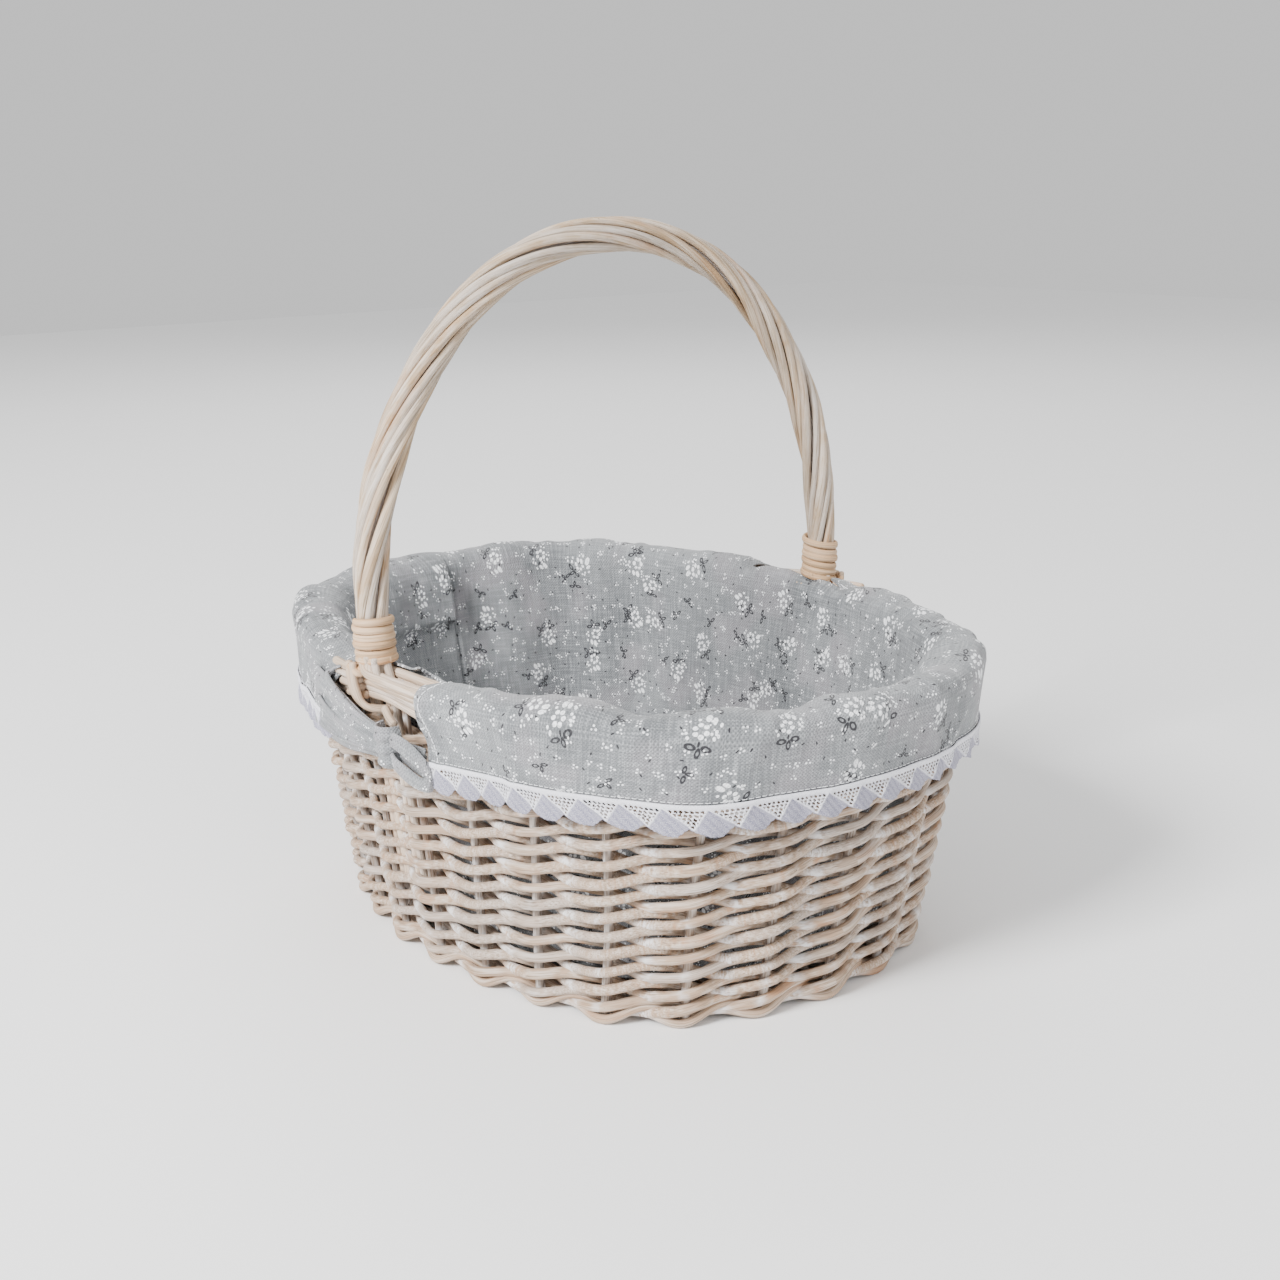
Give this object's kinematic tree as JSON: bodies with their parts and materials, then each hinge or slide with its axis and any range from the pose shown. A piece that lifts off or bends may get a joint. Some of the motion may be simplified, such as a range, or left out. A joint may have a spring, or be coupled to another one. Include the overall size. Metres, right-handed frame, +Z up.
{
  "type": "flower girl basket",
  "caption": "Oval willow basket with a fixed roped bow handle and a tied cloth lining folded over the rim, with a lace hem.",
  "frame": {"origin": "middle of the footprint, on the surface the basket stands on", "axes": "+X along the basket's long axis, +Y across it in the plane of the handle, +Z up"},
  "size_m": [0.4002, 0.3148, 0.3565],
  "materials": {
    "weaver_willow": "whitewashed willow weaver rods",
    "border_willow": "whitewashed willow border rods",
    "stake_willow": "willow stakes and base sticks, thin whitewash",
    "handle_willow": "whitewashed willow rods, roped",
    "binding_cane": "smooth split cane lashing",
    "lining_cloth": "grey plain-weave cotton and linen cloth with a small white floral print",
    "lace_cotton": "cotton lace, white band with a pale lilac-grey scalloped edge",
    "bow_cloth": "grey plain-weave cloth ties with stitched edges"
  },
  "bodies": {
    "root": {"base_cross_sticks": "stake_willow", "base_long_sticks": "stake_willow", "base_weave_over": "weaver_willow", "base_weave_under": "weaver_willow", "binding_loops_back": "border_willow", "binding_loops_front": "border_willow", "border_rods_1": "border_willow", "border_rods_2": "border_willow", "border_rods_3": "border_willow", "border_rods_4": "border_willow", "bow_bands_back": "bow_cloth", "bow_bands_front": "bow_cloth", "bow_knot_back": "bow_cloth", "bow_knot_front": "bow_cloth", "bow_loops_back": "bow_cloth", "bow_loops_front": "bow_cloth", "foot_wale": "weaver_willow", "handle_binding_back": "binding_cane", "handle_binding_front": "binding_cane", "handle_core": "handle_willow", "handle_strand_1": "handle_willow", "handle_strand_2": "handle_willow", "handle_strand_3": "handle_willow", "handle_strand_4": "handle_willow", "handle_strand_5": "handle_willow", "handle_strand_6": "handle_willow", "handle_strand_7": "handle_willow", "handle_strand_8": "handle_willow", "handle_strand_9": "handle_willow", "handle_tails_back": "stake_willow", "handle_tails_front": "stake_willow", "lace_left": "lace_cotton", "lace_right": "lace_cotton", "lining_floor": "lining_cloth", "lining_side_back": "lining_cloth", "lining_side_front": "lining_cloth", "lining_skirt_left": "lining_cloth", "lining_skirt_right": "lining_cloth", "side_stakes": "stake_willow", "weave_row_01": "weaver_willow", "weave_row_02": "weaver_willow", "weave_row_03": "weaver_willow", "weave_row_04": "weaver_willow", "weave_row_05": "weaver_willow", "weave_row_06": "weaver_willow", "weave_row_07": "weaver_willow", "weave_row_08": "weaver_willow", "weave_row_09": "weaver_willow", "weave_row_10": "weaver_willow", "weave_row_11": "weaver_willow", "weave_row_12": "weaver_willow", "weave_row_13": "weaver_willow"}
  },
  "joints": []
}
